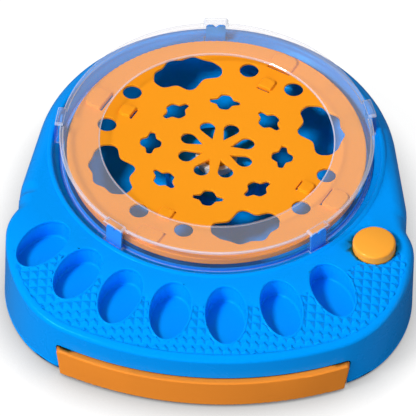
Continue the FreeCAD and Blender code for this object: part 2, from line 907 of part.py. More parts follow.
def gear_wire(teeth, first):
    """Toothed outline with a tooth centred on the angle first."""
    pitch = teeth * gear_module / 2
    root = pitch - 1.2 * gear_module
    tip = pitch + 0.95 * gear_module
    half = pi * gear_module / 4 - tooth_slack / 2
    points = []
    for k in range(teeth):
        centre = radians(first + 360 * k / teeth)
        for radius, share in ((root, 1.5), (pitch, 1.0), (tip, 0.45)):
            points.append((radius, centre - share * half / radius))
        for radius, share in ((tip, 0.45), (pitch, 1.0), (root, 1.5)):
            points.append((radius, centre + share * half / radius))
    return polygon([(r * cos(a), r * sin(a)) for r, a in points])


def make_spindle_gear():
    gear = prism(gear_wire(gear_teeth, 90), gear_height, gear_height + gear_thickness)
    recess = tube(gear_distance - 6, 5.5, gear_height + 1.6, gear_height + 9)
    gear = gear.cut(recess)
    return solid_of(gear.cut(cylinder(spindle_size / 2, 0, 60)))


def make_pinion():
    low = bracket_height + bracket_thickness + 0.5
    gear = prism(gear_wire(pinion_teeth, -90 + 180 / pinion_teeth), low, gear_height + gear_thickness + 0.6)
    gear = gear.cut(cylinder(motor_shaft_size / 2, 0, 60))
    gear.translate(vec(0, gear_distance, 0))
    return solid_of(gear)


def motor_section(grow, z0, z1):
    half = motor_flat / 2 + grow
    body = cylinder(motor_size / 2 + grow, z0, z1, 0, gear_distance)
    return body.common(box(-half, half, -50, 90, z0 - 1, z1 + 1))


def make_motor_can():
    low = bracket_height - motor_length
    can = motor_section(0, low + motor_cap, bracket_height)
    nose = cylinder(3.1, bracket_height - 1, bracket_height + bracket_thickness, 0, gear_distance)
    can = can.cut(motor_section(-0.8, low + motor_cap - 1, bracket_height - 0.8))
    can = can.fuse(nose)
    return solid_of(can.cut(cylinder(1.0 + running_gap, 0, 60, 0, gear_distance)))


def make_motor_cap():
    low = bracket_height - motor_length
    cap = motor_section(0, low, low + motor_cap)
    cap = cap.fuse(cylinder(3.2, low - 0.9, low + 1, 0, gear_distance))
    cap = cap.fuse(motor_section(-0.9, low + motor_cap - 0.5, low + motor_cap + 1.5))
    return solid_of(cap.cut(cylinder(1.0 + running_gap, low + 0.8, 60, 0, gear_distance)))


def make_rotor():
    low = bracket_height - motor_length
    rotor = cylinder(motor_shaft_size / 2, low + 1.0, gear_height + gear_thickness + 0.6, 0, gear_distance)
    core = cylinder(motor_flat / 2 - 1.8, low + motor_cap + 3, bracket_height - 3, 0, gear_distance)
    return solid_of(rotor.fuse(core))


def make_bracket():
    z0, z1 = bracket_height, bracket_height + bracket_thickness
    plate = cylinder(7, z0, z1)
    plate = plate.fuse(cylinder(12.5, z0, z1, 0, gear_distance))
    for angle in bracket_angles():
        x, y = polar(post_circle, angle)
        plate = plate.fuse(cylinder(post_size / 2 + 0.6, z0, z1, x, y))
        arm = box(0, hypot(x, y), -3, 3, z0, z1)
        arm.rotate(vec(0, 0, 0), vec(0, 0, 1), angle)
        plate = plate.fuse(arm)
    for angle in bracket_angles():
        x, y = polar(post_circle, angle)
        plate = plate.cut(cylinder(small_screw / 2 + 0.15, 0, 60, x, y))
    plate = plate.cut(cylinder(spindle_size / 2 + 0.6, 0, 60))
    return solid_of(plate.cut(cylinder(3.1, 0, 60, 0, gear_distance)))


def screw(head, size, length, x, y, z):
    """Screw that points up, with its head's lower face at z and a cross slot."""
    thickness = head * 0.36
    body = cylinder(head / 2, z, z + thickness, x, y)
    body = body.fuse(cylinder(size / 2, z, z + thickness + length, x, y))
    slot = box(x - head * 0.32, x + head * 0.32, y - 0.35, y + 0.35, z - 1, z + thickness * 0.5)
    cross = box(x - 0.35, x + 0.35, y - head * 0.32, y + head * 0.32, z - 1, z + thickness * 0.5)
    return body.cut(slot).cut(cross)


def make_housing_screws():
    size = 2 * (screw_size / 2 - 0.2)
    thickness = screw_head * 0.36
    z = base_low + screw_head_height / 2 + 0.2 - thickness
    return Part.makeCompound([screw(screw_head, size, 10, x, y, z) for x, y in screw_points()])


def make_bracket_screws():
    size = 2 * (small_screw / 2 - 0.2)
    thickness = small_screw_head * 0.36
    points = [polar(post_circle, a) for a in bracket_angles()]
    return Part.makeCompound([screw(small_screw_head, size, 5, x, y, bracket_height - thickness)
                              for x, y in points])


def make_door_screw():
    x, y = door_screw_point()
    thickness = small_screw_head * 0.36
    return screw(small_screw_head, door_screw_size, 4.5, x, y, base_low + 0.9 - thickness)


def make_feet():
    feet = []
    for x, y in foot_points():
        pad = cylinder(foot_size / 2 - 0.05, 0, foot_height, x, y)
        feet.append(pad.makeFillet(0.5, [e for e in pad.Edges if e.BoundBox.ZMax < 0.01]))
    return Part.makeCompound(feet)


def make_collar():
    return tube(collar_outer, collar_inner, boss_height, boss_height + collar_height)


def make_upper_bush():
    bush = cylinder(bush_size / 2, boss_height - bowl_wall - 1.5, boss_height - 0.6)
    return bush.cut(cylinder(spindle_size / 2 + running_gap, 0, 60))


def make_lower_bush():
    bush = cylinder(bush_size / 2, floor_top + 1.5, 14.0)
    return bush.cut(cylinder(spindle_size / 2 + running_gap, spindle_bottom - 0.05, 60))


def guard_levels():
    """Underside of the lip, and the wall's outer radius there."""
    low = groove_floor + seat_gap
    seam = guard_top - guard_wall
    share = (seam - low) / (guard_top - guard_edge - low)
    return seam, guard_low_radius + share * (guard_top_radius - guard_low_radius)


def make_guard_lip():
    """Sloping top ring, bonded down on the wall and notched round its tabs."""
    seam, seam_radius = guard_levels()
    edge = guard_top - guard_lip_drop
    w = guard_wall
    lip = revolve([(seam_radius, seam), (guard_top_radius, guard_top - guard_edge),
                   (guard_top_radius - 0.2, guard_top - 0.2), (guard_top_radius - guard_edge, guard_top),
                   (guard_opening + 0.8, edge + 0.1), (guard_opening, edge - 0.6),
                   (guard_opening, edge - w + 0.2), (guard_opening + 0.8, edge - w),
                   (guard_top_radius - w - 1.2, seam)])
    half = guard_tab_width / 2 + guard_bond
    start = guard_low_radius - w - guard_bond
    for angle in guard_tab_angles:
        lip = lip.cut(turned(box(start, guard_top_radius + 9, -half, half, seam - 9, guard_top + 9), angle))
    return solid_of(lip)


def make_guard():
    """Wall of the guard with its five box tabs, open towards the turntable."""
    low = groove_floor + seat_gap
    seam, seam_radius = guard_levels()
    w = guard_wall
    guard = revolve([(guard_low_radius - w, low), (guard_low_radius, low), (seam_radius, seam - guard_bond),
                     (guard_top_radius - w - 1.2, seam - guard_bond), (guard_top_radius - w, seam - 1.4)])
    low = ledge_height + seat_gap
    high = guard_top + guard_tab_rise
    reach = guard_top_radius + guard_tab_proud
    half = guard_tab_width / 2
    inner = guard_low_radius - w
    roof = high - guard_tab_wall
    for angle in guard_tab_angles:
        tab = box(inner, reach, -half, half, low, high)
        tab = tab.makeFillet(guard_tab_round, [e for e in tab.Edges if e.BoundBox.ZMin > high - 0.01
                                               and e.BoundBox.YLength < 0.01])
        tab = tab.makeFillet(0.7, [e for e in tab.Edges if e.BoundBox.XMin > reach - 0.01])
        guard = guard.fuse(turned(tab, angle))
    for angle in guard_tab_angles:
        side = half - guard_tab_wall
        room = box(inner - 4, reach - guard_tab_wall, -side, side, low - 9, roof)
        guard = guard.cut(turned(room, angle))
    return solid_of(guard)


def button_point():
    return polar(button_radius, -90 + button_angle)


def button_top():
    x, y = button_point()
    return dome_height(x, y) + button_proud


def make_button():
    x, y = button_point()
    top = button_top()
    low = top - button_proud - button_skirt
    radius = button_size / 2
    crown_radius = (radius ** 2 + button_dome ** 2) / (2 * button_dome)
    crown = Part.makeSphere(crown_radius, vec(0, 0, top + button_dome - crown_radius))
    shape = cylinder(radius, low, top + button_dome).common(crown)
    shape = shape.makeFillet(button_edge, [e for e in shape.Edges if e.BoundBox.ZMin > top - 0.01])
    shape = shape.cut(cylinder(radius - button_wall, low - 1, top - button_wall - 0.6))
    shape = shape.fuse(cylinder(plunger_size / 2, plunger_tip, top - 1))
    low = clip_ring_low()
    groove = tube(plunger_size, plunger_size / 2 - 0.8, low, low + clip_ring_thickness)
    shape = shape.cut(groove)
    shape.translate(vec(x, y, 0))
    return solid_of(shape)


def clip_ring_low():
    return guide_floor_height - guide_floor_thickness - seat_gap - clip_ring_thickness


def make_clip_ring():
    x, y = button_point()
    z0 = clip_ring_low()
    ring = tube(clip_ring_size / 2, plunger_size / 2 - 0.8, z0, z0 + clip_ring_thickness, x, y)
    gap = box(x - 1.6, x + 1.6, y, y + 20, z0 - 1, z0 + 5)
    return solid_of(ring.cut(gap))


def make_button_spring():
    """Compression spring between the guide's floor and the button's roof."""
    x, y = button_point()
    low = guide_floor_height + spring_wire / 2 + 0.05
    high = button_top() - button_wall - 0.6 - spring_wire / 2 - 0.05
    radius = spring_coil_size / 2
    path = Part.makeLongHelix((high - low) / spring_turns, high - low, radius)
    section = Part.Wire(Part.makeCircle(spring_wire / 2, vec(radius, 0, 0), vec(0, 1, 0)))
    coil = Part.Wire(path).makePipeShell([section], True, True)
    coil.translate(vec(x, y, low))
    return coil


def switch_point():
    x, y = button_point()
    return x, y


def make_switch_block():
    x, y = switch_point()
    high = plunger_tip - button_travel - 4.6
    block = box(x - 5, x + 5, y + 5, y + 15, floor_top, high)
    foot = box(x - 7.5, x + 7.5, y + 4, y + 16, floor_top, floor_top + 1.6)
    return solid_of(block.fuse(foot))


def leaf_levels():
    """Underside of the lower and upper leaf."""
    high = plunger_tip - button_travel - 4.6
    return high, high + 3.9


def make_leaf(upper):
    x, y = switch_point()
    z = leaf_levels()[1] if upper else leaf_levels()[0]
    leaf = box(x - 2.5, x + 2.5, y - 4, y + 13, z, z + 0.4)
    if upper:
        bent = leaf_levels()[0] + 0.7
        leaf = leaf.fuse(box(x - 2.5, x + 2.5, y + 12.6, y + 13, bent, z + 0.2))
        leaf = leaf.fuse(box(x - 2.5, x + 2.5, y + 8, y + 13, bent, bent + 0.4))
    return solid_of(leaf)


def make_leaf_spacer():
    x, y = switch_point()
    z = leaf_levels()[0] + 0.4
    return box(x - 4, x + 4, y + 7, y + 13.6, z, z + 0.3)


def cell_rows():
    first = bay_centre_back - cell_pitch * (cell_count - 1) / 2
    return [first + cell_pitch * k for k in range(cell_count)]


def make_cells():
    cells = []
    z = cell_bottom + cell_size / 2
    for k, y in enumerate(cell_rows()):
        sign = 1 if k % 2 == 0 else -1
        half = cell_length / 2
        body = Part.makeCylinder(cell_size / 2, cell_length - 1.2, vec(-sign * half, y, z), vec(sign, 0, 0))
        nub = Part.makeCylinder(2.7, 1.4, vec(sign * (half - 1.4), y, z), vec(sign, 0, 0))
        cells.append(body.fuse(nub))
    return Part.makeCompound(cells)


def make_contact_plates():
    """Flat contact at each cell's positive end, standing on the bay's wall."""
    plates = []
    half = cell_length / 2
    z = cell_bottom + cell_size / 2
    for k, y in enumerate(cell_rows()):
        sign = 1 if k % 2 == 0 else -1
        wall_x = half + bay_end_room
        x0, x1 = sorted((sign * (wall_x - 0.5), sign * wall_x))
        plates.append(box(x0, x1, y - 5, y + 5, z - 5, z + 5))
        x2, x3 = sorted((sign * (half + 0.1), sign * (wall_x - 0.5)))
        bump = Part.makeCylinder(3.2, x3 - x2, vec(x2, y, z), vec(1, 0, 0))
        plates[-1] = plates[-1].fuse(bump)
    return Part.makeCompound(plates)


def make_battery_springs():
    springs = []
    half = cell_length / 2
    z = cell_bottom + cell_size / 2
    wire = 0.7
    for k, y in enumerate(cell_rows()):
        sign = -1 if k % 2 == 0 else 1
        span = bay_end_room - wire - 0.2
        path = Part.makeLongHelix(span / 3, span, 3.0)
        section = Part.Wire(Part.makeCircle(wire / 2, vec(3.0, 0, 0), vec(0, 1, 0)))
        coil = Part.Wire(path).makePipeShell([section], True, True)
        coil.rotate(vec(0, 0, 0), vec(0, 1, 0), 90)
        start = half + wire / 2 + 0.1 if sign > 0 else -half - bay_end_room + wire / 2 + 0.1
        coil.translate(vec(start, y, z))
        springs.append(coil)
    return Part.makeCompound(springs)


def routed_wire(points, size):
    """Tube along straight runs joined by tangent arcs, from a list of corners."""
    corners = [vec(*p) for p in points]
    edges = []
    last = corners[0]
    for i in range(1, len(corners) - 1):
        u = corners[i - 1] - corners[i]
        w = corners[i + 1] - corners[i]
        short = min(u.Length, w.Length)
        u.normalize()
        w.normalize()
        back = 0.45 * short
        p0 = corners[i] + u * back
        p1 = corners[i] + w * back
        turn = acos(max(-1, min(1, u.dot(w))))
        reach = back * tan(turn / 2)
        centre = corners[i] + (u + w).normalize() * (back / cos(turn / 2))
        middle = centre + (corners[i] - centre).normalize() * reach
        edges.append(Part.makeLine(last, p0))
        edges.append(Part.Arc(p0, middle, p1).toShape())
        last = p1
    edges.append(Part.makeLine(last, corners[-1]))
    path = Part.Wire(edges)
    start = corners[0]
    direction = corners[1] - corners[0]
    section = Part.Wire(Part.makeCircle(size / 2, start, direction))
    return path.makePipeShell([section], True, False)


def make_wires():
    """Battery to switch, switch to motor and motor to battery, in that order."""
    x, y = button_point()
    lie = floor_top + wire_size / 2 + 0.05
    rise = 12.0
    bay_front = bay_extent()[1]
    bay_face = bay_front - bay_wall - 0.1
    back = y + 15.1
    cap = bracket_height - motor_length - 0.1
    feed = [(20, bay_face, rise), (20, bay_face - 6, rise), (20, bay_face - 6, lie), (66, 14, lie),
            (106, -46, lie), (x + 2.6, back + 5, lie), (x + 2.6, back + 5, rise), (x + 2.6, back, rise)]
    switched = [(x - 2, back, rise), (x - 2, back + 5, rise), (x - 2, back + 5, lie), (99, -50, lie),
                (58, 4, lie), (6, gear_distance, lie), (6, gear_distance, cap)]
    home = [(-6, gear_distance, cap), (-6, gear_distance, lie), (-6, bay_face - 6, lie),
            (-6, bay_face - 6, rise), (-6, bay_face, rise)]
    return [routed_wire(points, wire_size) for points in (feed, switched, home)]


def export(name, shape):
    copy = shape.copy()
    copy.translate(vec(0, spindle_back, 0))
    copy.exportStep(os.path.join("parts", name + ".step"))
    box_now = copy.BoundBox
    print(name, "valid", copy.isValid(), "solids", len(copy.Solids), "volume", round(copy.Volume, 1),
          "z", round(box_now.ZMin, 2), round(box_now.ZMax, 2))


def main():
    os.makedirs("parts", exist_ok=True)
    export("upper_housing", make_upper_housing())
    export("catch_bowl", make_bowl())
    export("paint_cups", make_cups())
    export("base_plate", make_base_plate())
    export("battery_door", make_battery_door())
    export("battery_door_screw", make_door_screw())
    export("housing_screws", make_housing_screws())
    export("rubber_feet", make_feet())
    export("turntable", make_turntable())
    export("drive_hub", make_drive_hub())
    export("spindle", make_spindle())
    export("spindle_gear", make_spindle_gear())
    export("spindle_collar", make_collar())
    export("upper_bush", make_upper_bush())
    export("lower_bush", make_lower_bush())
    export("motor_can", make_motor_can())
    export("motor_end_cap", make_motor_cap())
    export("motor_rotor", make_rotor())
    export("motor_pinion", make_pinion())
    export("motor_bracket", make_bracket())
    export("bracket_screws", make_bracket_screws())
    export("splash_guard", make_guard())
    export("guard_lip", make_guard_lip())
    export("push_button", make_button())
    export("button_clip_ring", make_clip_ring())
    export("button_spring", make_button_spring())
    export("switch_block", make_switch_block())
    export("switch_spacer", make_leaf_spacer())
    export("switch_lower_leaf", make_leaf(False))
    export("switch_upper_leaf", make_leaf(True))
    export("battery_cells", make_cells())
    export("battery_contact_plates", make_contact_plates())
    export("battery_springs", make_battery_springs())
    for name, wire in zip(("battery_wire", "switched_wire", "return_wire"), make_wires()):
        export(name, wire)
    export("drawer_front", make_drawer_front())
    export("drawer_tray", make_drawer_tray())


main()
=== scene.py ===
import json
from math import cos, radians, sin

import bmesh
import bpy
from mathutils import Matrix, Vector

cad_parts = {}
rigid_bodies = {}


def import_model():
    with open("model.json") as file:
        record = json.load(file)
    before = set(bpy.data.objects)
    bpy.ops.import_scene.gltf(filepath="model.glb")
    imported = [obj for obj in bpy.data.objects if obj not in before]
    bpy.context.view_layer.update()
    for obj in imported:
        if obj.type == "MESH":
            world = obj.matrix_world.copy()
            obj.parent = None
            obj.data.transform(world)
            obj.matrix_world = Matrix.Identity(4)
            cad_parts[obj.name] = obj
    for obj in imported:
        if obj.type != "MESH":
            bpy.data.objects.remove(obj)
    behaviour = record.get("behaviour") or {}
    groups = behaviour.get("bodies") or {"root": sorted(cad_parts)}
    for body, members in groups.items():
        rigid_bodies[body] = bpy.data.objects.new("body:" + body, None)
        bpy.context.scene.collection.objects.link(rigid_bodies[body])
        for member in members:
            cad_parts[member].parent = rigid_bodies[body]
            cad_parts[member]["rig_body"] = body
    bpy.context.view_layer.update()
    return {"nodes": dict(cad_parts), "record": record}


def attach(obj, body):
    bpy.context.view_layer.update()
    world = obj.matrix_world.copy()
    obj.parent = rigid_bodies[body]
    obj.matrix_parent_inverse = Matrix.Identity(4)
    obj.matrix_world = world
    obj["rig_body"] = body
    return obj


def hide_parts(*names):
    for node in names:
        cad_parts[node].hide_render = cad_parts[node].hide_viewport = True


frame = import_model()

mm = 0.001
nodes = frame["nodes"]
spindleBack = 29.75 * mm      # the spindle stands this far behind the origin
print("frame loaded:", len(nodes), "nodes")


# Small helpers for building shader graphs

def newMaterial(name, **sockets):
    mat = bpy.data.materials.new(name)
    mat.use_nodes = True
    shader = mat.node_tree.nodes["Principled BSDF"]
    for key, value in sockets.items():
        shader.inputs[socketNames[key]].default_value = value
    return mat, mat.node_tree, shader


socketNames = {"rough": "Roughness", "metal": "Metallic", "specular": "Specular IOR Level",
               "tint": "Specular Tint"}


def addNode(tree, kind, **values):
    node = tree.nodes.new(kind)
    for key, value in values.items():
        if hasattr(node, key):
            setattr(node, key, value)
        else:
            node.inputs[key.replace("_", " ")].default_value = value
    return node


def newGroup(name, inputs, outputs):
    group = bpy.data.node_groups.new(name, "ShaderNodeTree")
    for label, kind, value in inputs:
        socket = group.interface.new_socket(label, in_out="INPUT", socket_type="NodeSocket" + kind)
        socket.default_value = value
    for label, kind in outputs:
        group.interface.new_socket(label, in_out="OUTPUT", socket_type="NodeSocket" + kind)
    return group, group.nodes.new("NodeGroupInput"), group.nodes.new("NodeGroupOutput")


def makeMouldedGroup():       # colour drift, fine orange peel and handling marks of moulded plastic
    group, inp, out = newGroup("mouldedSkin", [
        ("Color", "Color", (0.5, 0.5, 0.5, 1)), ("Tone", "Float", 0.04), ("Peel", "Float", 0.05),
        ("Peel Scale", "Float", 900.0), ("Rough", "Float", 0.3), ("Smears", "Float", 0.08)],
        [("Color", "Color"), ("Roughness", "Float"), ("Normal", "Vector")])
    place = addNode(group, "ShaderNodeTexCoord")
    drift = addNode(group, "ShaderNodeTexNoise", Scale=14.0, Detail=3.0)
    peel = addNode(group, "ShaderNodeTexNoise", Detail=2.0)
    smear = addNode(group, "ShaderNodeTexNoise", Scale=45.0, Detail=5.0, Distortion=0.6)
    for texture in (drift, peel, smear):
        group.links.new(place.outputs["Object"], texture.inputs["Vector"])
    group.links.new(inp.outputs["Peel Scale"], peel.inputs["Scale"])
    centre = addNode(group, "ShaderNodeMath", operation="SUBTRACT")
    centre.inputs[1].default_value = 0.5
    group.links.new(drift.outputs["Fac"], centre.inputs[0])
    amount = addNode(group, "ShaderNodeMath", operation="MULTIPLY_ADD")
    amount.inputs[2].default_value = 1.0
    group.links.new(centre.outputs[0], amount.inputs[0])
    group.links.new(inp.outputs["Tone"], amount.inputs[1])
    tint = addNode(group, "ShaderNodeVectorMath", operation="SCALE")
    group.links.new(inp.outputs["Color"], tint.inputs[0])
    group.links.new(amount.outputs[0], tint.inputs["Scale"])
    group.links.new(tint.outputs[0], out.inputs["Color"])
    wipe = addNode(group, "ShaderNodeMath", operation="MULTIPLY_ADD")
    group.links.new(smear.outputs["Fac"], wipe.inputs[0])
    group.links.new(inp.outputs["Smears"], wipe.inputs[1])
    group.links.new(inp.outputs["Rough"], wipe.inputs[2])
    group.links.new(wipe.outputs[0], out.inputs["Roughness"])
    bump = addNode(group, "ShaderNodeBump", Distance=0.0002)
    group.links.new(inp.outputs["Peel"], bump.inputs["Strength"])
    group.links.new(peel.outputs["Fac"], bump.inputs["Height"])
    group.links.new(bump.outputs[0], out.inputs["Normal"])
    return group


mouldedSkin = makeMouldedGroup()


def mouldedPlastic(name, color, specular=0.3, rough=0.3, peel=0.05, tone=0.05, smears=0.06, **more):
    mat, tree, shader = newMaterial(name, specular=specular, **more)
    skin = addNode(tree, "ShaderNodeGroup", node_tree=mouldedSkin)
    skin.inputs["Color"].default_value = (*color, 1)
    skin.inputs["Rough"].default_value = rough
    skin.inputs["Peel"].default_value = peel
    skin.inputs["Tone"].default_value = tone
    skin.inputs["Smears"].default_value = smears
    tree.links.new(skin.outputs["Color"], shader.inputs["Base Color"])
    tree.links.new(skin.outputs["Roughness"], shader.inputs["Roughness"])
    tree.links.new(skin.outputs["Normal"], shader.inputs["Normal"])
    return mat


def clearPlastic(name, look):  # a thin clear wall: faint face on, denser where it is seen along its length
    mat, tree, shader = newMaterial(name, specular=look["specular"], rough=look["rough"])
    place = addNode(tree, "ShaderNodeTexCoord")
    split = addNode(tree, "ShaderNodeSeparateXYZ")
    flat = addNode(tree, "ShaderNodeMath", operation="ABSOLUTE")
    # Upright faces take the wall colour and level faces the main colour; for the guard the darker wall
    # colour is painted shade on its upright walls.
    blend = addNode(tree, "ShaderNodeMix", data_type="RGBA")
    blend.inputs["A"].default_value = (*look["wallColor"], 1)
    blend.inputs["B"].default_value = (*look["color"], 1)
    tree.links.new(place.outputs["Normal"], split.inputs[0])
    tree.links.new(split.outputs[2], flat.inputs[0])
    tree.links.new(flat.outputs[0], blend.inputs["Factor"])
    tree.links.new(blend.outputs["Result"], shader.inputs["Base Color"])
    facing = addNode(tree, "ShaderNodeLayerWeight", Blend=0.5)
    curve = addNode(tree, "ShaderNodeMath", operation="POWER")
    curve.inputs[1].default_value = look["power"]
    span = addNode(tree, "ShaderNodeMapRange")
    span.inputs["To Min"].default_value = look["thin"]
    span.inputs["To Max"].default_value = look["thick"]
    tree.links.new(facing.outputs["Facing"], curve.inputs[0])
    tree.links.new(curve.outputs[0], span.inputs["Value"])
    upright = addNode(tree, "ShaderNodeMath", operation="SUBTRACT")
    upright.inputs[0].default_value = 1.0
    tree.links.new(flat.outputs[0], upright.inputs[1])
    dense = addNode(tree, "ShaderNodeMath", operation="MULTIPLY_ADD")
    dense.inputs[1].default_value = look["wallMore"]
    tree.links.new(upright.outputs[0], dense.inputs[0])
    tree.links.new(span.outputs[0], dense.inputs[2])
    tree.links.new(dense.outputs[0], shader.inputs["Alpha"])
    return mat


def metal(name, color, rough, peel=0.04, tone=0.12, smears=0.2):
    mat, tree, shader = newMaterial(name, metal=1.0)
    skin = addNode(tree, "ShaderNodeGroup", node_tree=mouldedSkin)
    skin.inputs["Color"].default_value = (*color, 1)
    skin.inputs["Rough"].default_value = rough
    skin.inputs["Peel"].default_value = peel
    skin.inputs["Tone"].default_value = tone
    skin.inputs["Smears"].default_value = smears
    for label in ("Color", "Roughness", "Normal"):
        target = "Base Color" if label == "Color" else label
        tree.links.new(skin.outputs[label], shader.inputs[target])
    return mat


plasticLooks = {
    "housing": dict(color=(0.0, 0.31, 0.96), specular=0.3, rough=0.24, tint=(0.02, 0.45, 1.0, 1)),
    "base": dict(color=(0.0, 0.3, 0.93), specular=0.3, rough=0.3, tint=(0.02, 0.45, 1.0, 1)),
    "turntable": dict(color=(1.0, 0.345, 0.012), specular=0.25, rough=0.3, tint=(1.0, 0.4, 0.05, 1)),
    "button": dict(color=(1.0, 0.4, 0.04), specular=0.3, rough=0.2, tint=(1.0, 0.75, 0.4, 1)),
    "drawer_front": dict(color=(0.86, 0.27, 0.03), specular=0.25, rough=0.35, tint=(1.0, 0.6, 0.3, 1)),
    "drawer_tray": dict(color=(0.82, 0.82, 0.8), specular=0.3, rough=0.35),
    "white_plastic": dict(color=(0.75, 0.73, 0.7), specular=0.3, rough=0.35),
    "black_plastic": dict(color=(0.02, 0.02, 0.02), specular=0.3, rough=0.4),
    "cell_wrap": dict(color=(0.03, 0.03, 0.035), specular=0.4, rough=0.25),
    "red_wire": dict(color=(0.6, 0.01, 0.01), specular=0.3, rough=0.35),
    "black_wire": dict(color=(0.015, 0.015, 0.015), specular=0.3, rough=0.35),
    "yellow_wire": dict(color=(0.75, 0.5, 0.02), specular=0.3, rough=0.35),
    "rubber": dict(color=(0.02, 0.02, 0.02), specular=0.2, rough=0.7, peel=0.2),
}
metalLooks = {
    "steel": dict(color=(0.6, 0.6, 0.62), rough=0.25),
    "spring_steel": dict(color=(0.5, 0.5, 0.52), rough=0.3),
    "motor_case": dict(color=(0.55, 0.55, 0.56), rough=0.3, peel=0.14),
    "brass": dict(color=(0.75, 0.52, 0.2), rough=0.28),
}
# The guard's level faces are near white and its upright walls a darker blue-lilac; that darker wall colour
# is painted shade.
guardLook = dict(color=(1.0, 0.95, 0.98), wallColor=(0.25, 0.36, 0.78), specular=0.5, rough=0.06, power=4.0,
                 thin=0.085, thick=0.2, wallMore=-0.015)
# The guard's chamfers and rounded edges get a bright, denser near-white colour: painted highlight lines
# along the clear edges.
guardEdgeHighlightLook = dict(color=(0.8, 0.84, 1.0), wallColor=(0.8, 0.84, 1.0), specular=1.0, rough=0.1, power=1.0,
                     thin=0.35, thick=0.75, wallMore=0.0)

materials = {slot: mouldedPlastic(slot, **look) for slot, look in plasticLooks.items()}
materials["guard"] = clearPlastic("guard", guardLook)
materials["guard_edge"] = clearPlastic("guard_edge", guardEdgeHighlightLook)
for slot, look in metalLooks.items():
    materials[slot] = metal(slot, **look)
print("materials made:", len(materials))

slotOf = {row["node"]: row["material_slot"] for row in frame["record"]["subparts"]}
for name, node in nodes.items():
    node.data.materials.clear()
    node.data.materials.append(materials[slotOf[name]])


# Visible mouldings: the same shapes with their seams merged and their sharp edges softened

# slantLow and slantHigh pick the guard's chamfer and rounded-edge faces, which take the bright edge colour
# as a painted highlight.
mending = {"seam": 0.00002, "speck": 0.00001, "flatten": 0.3, "evenWeight": 80, "mostSides": 4,
           "slantLow": 0.2, "slantHigh": 0.98}      # the slant marks the guard's chamfers and rounded edges


def mergedMesh(node, look=mending):
    mesh = nodes[node].data.copy()
    bm = bmesh.new()
    bm.from_mesh(mesh)
    bmesh.ops.remove_doubles(bm, verts=bm.verts, dist=look["seam"])
    bmesh.ops.dissolve_degenerate(bm, edges=bm.edges, dist=look["speck"])
    return mesh, bm


def softened(node, name, width, angle, segments=2, smooth=40, highlightSlot=None, chosen=None, look=mending):
    source = nodes[node]
    mesh, bm = mergedMesh(node)
    if width:
        bmesh.ops.dissolve_limit(bm, angle_limit=radians(look["flatten"]), verts=bm.verts, edges=bm.edges)
        sharp = [e for e in bm.edges if e.is_manifold and e.calc_face_angle(0) > radians(angle)]
        if chosen:
            sharp = [e for e in sharp if chosen((e.verts[0].co + e.verts[1].co) / 2)]
        bmesh.ops.bevel(bm, geom=sharp, offset=width, offset_type="OFFSET", segments=segments,
                        profile=0.5, affect="EDGES", clamp_overlap=False)
        bmesh.ops.triangulate(bm, faces=[f for f in bm.faces if len(f.verts) > look["mostSides"]])
    # Faces picked by the slant take the second slot; for the guard that slot is the painted edge highlight.
    for face in bm.faces:
        slanted = look["slantLow"] < abs(face.normal.z) < look["slantHigh"]
        face.material_index = 1 if highlightSlot and slanted else 0
    mesh.materials.clear()
    for slot in (slotOf[node], highlightSlot):
        if slot:
            mesh.materials.append(materials[slot])
    bm.to_mesh(mesh)
    bm.free()
    piece = bpy.data.objects.new(name, mesh)
    bpy.context.scene.collection.objects.link(piece)
    mesh.shade_smooth()
    mesh.set_sharp_from_angle(angle=radians(smooth))
    weigh = piece.modifiers.new("evenShading", "WEIGHTED_NORMAL")
    weigh.keep_sharp = True
    weigh.weight = look["evenWeight"]
    piece.data = bpy.data.meshes.new_from_object(piece.evaluated_get(bpy.context.evaluated_depsgraph_get()))
    piece.modifiers.clear()
    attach(piece, source["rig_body"])
    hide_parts(node)
    return piece


wellPlaces = {"radius": 142.7 * mm, "angles": (-51.5, -37.6, -23.7, -9.4, 5.6, 20.7, 36.0), "fan": 0.75,
              "length": 43.4 * mm, "width": 27.4 * mm, "deck": 44.0 * mm, "near": 0.04}


def onWellRim(point, look=wellPlaces):
    if point.z < look["deck"]:
        return False
    for angle in look["angles"]:
        turn, lean = radians(angle - 90), radians(look["fan"] * angle - 90)
        x = point.x - look["radius"] * cos(turn)
        y = point.y - spindleBack - look["radius"] * sin(turn)
        along = (x * cos(lean) + y * sin(lean)) / (look["length"] / 2)
        across = (y * cos(lean) - x * sin(lean)) / (look["width"] / 2)
        if abs(along ** 2 + across ** 2 - 1) < look["near"]:
            return True
    return False


softPieces = {
    "upper_housing": dict(width=0.6 * mm, angle=30, segments=3, smooth=32, chosen=onWellRim),
    "catch_bowl": dict(width=0, angle=35),
    "paint_cups": dict(width=0, angle=35),
    "base_plate": dict(width=0, angle=35),
    "turntable": dict(width=0.45 * mm, angle=50, segments=3),
    # The guard and its lip carry the painted edge highlight on their chamfers and rounded edges.
    "splash_guard": dict(width=0.25 * mm, angle=50, highlightSlot="guard_edge"),
    "guard_lip": dict(width=0, angle=50, smooth=12, highlightSlot="guard_edge"),
    "push_button": dict(width=0, angle=50),
    "drawer_front": dict(width=0, angle=50),
    "drawer_tray": dict(width=0.3 * mm, angle=50),
}
for node, finish in softPieces.items():
    piece = softened(node, node + "_shell", **finish)
    print("softened", node, len(piece.data.polygons), "faces")


# Grip pattern: rows of small pyramids over the sunk field of the deck

knurl = {"pitch": 6.03 * mm, "height": 1.9 * mm, "sink": 0.8 * mm, "offsetX": 1.5 * mm, "offsetY": 0.8 * mm,
         "domeBack": 50.0 * mm, "domeFlat": 161.0 * mm, "domeRadius": 148.0 * mm, "deck": 55.2 * mm,
         "width": 270 * mm, "depth": 140 * mm, "frontY": -146 * mm, "skin": 0.6 * mm, "seam": 0.00002,
         "weld": 0.00001, "near": 0.12 * mm, "upright": 0.8, "slabDrop": 1.0 * mm, "slabHeight": 5 * mm}


def deckHeight(x, y, look=knurl):
    reach = Vector((x, y - spindleBack - look["domeBack"])).length
    past = max(0.0, reach - look["domeFlat"])
    return look["deck"] - look["domeRadius"] + (look["domeRadius"] ** 2 - past ** 2) ** 0.5


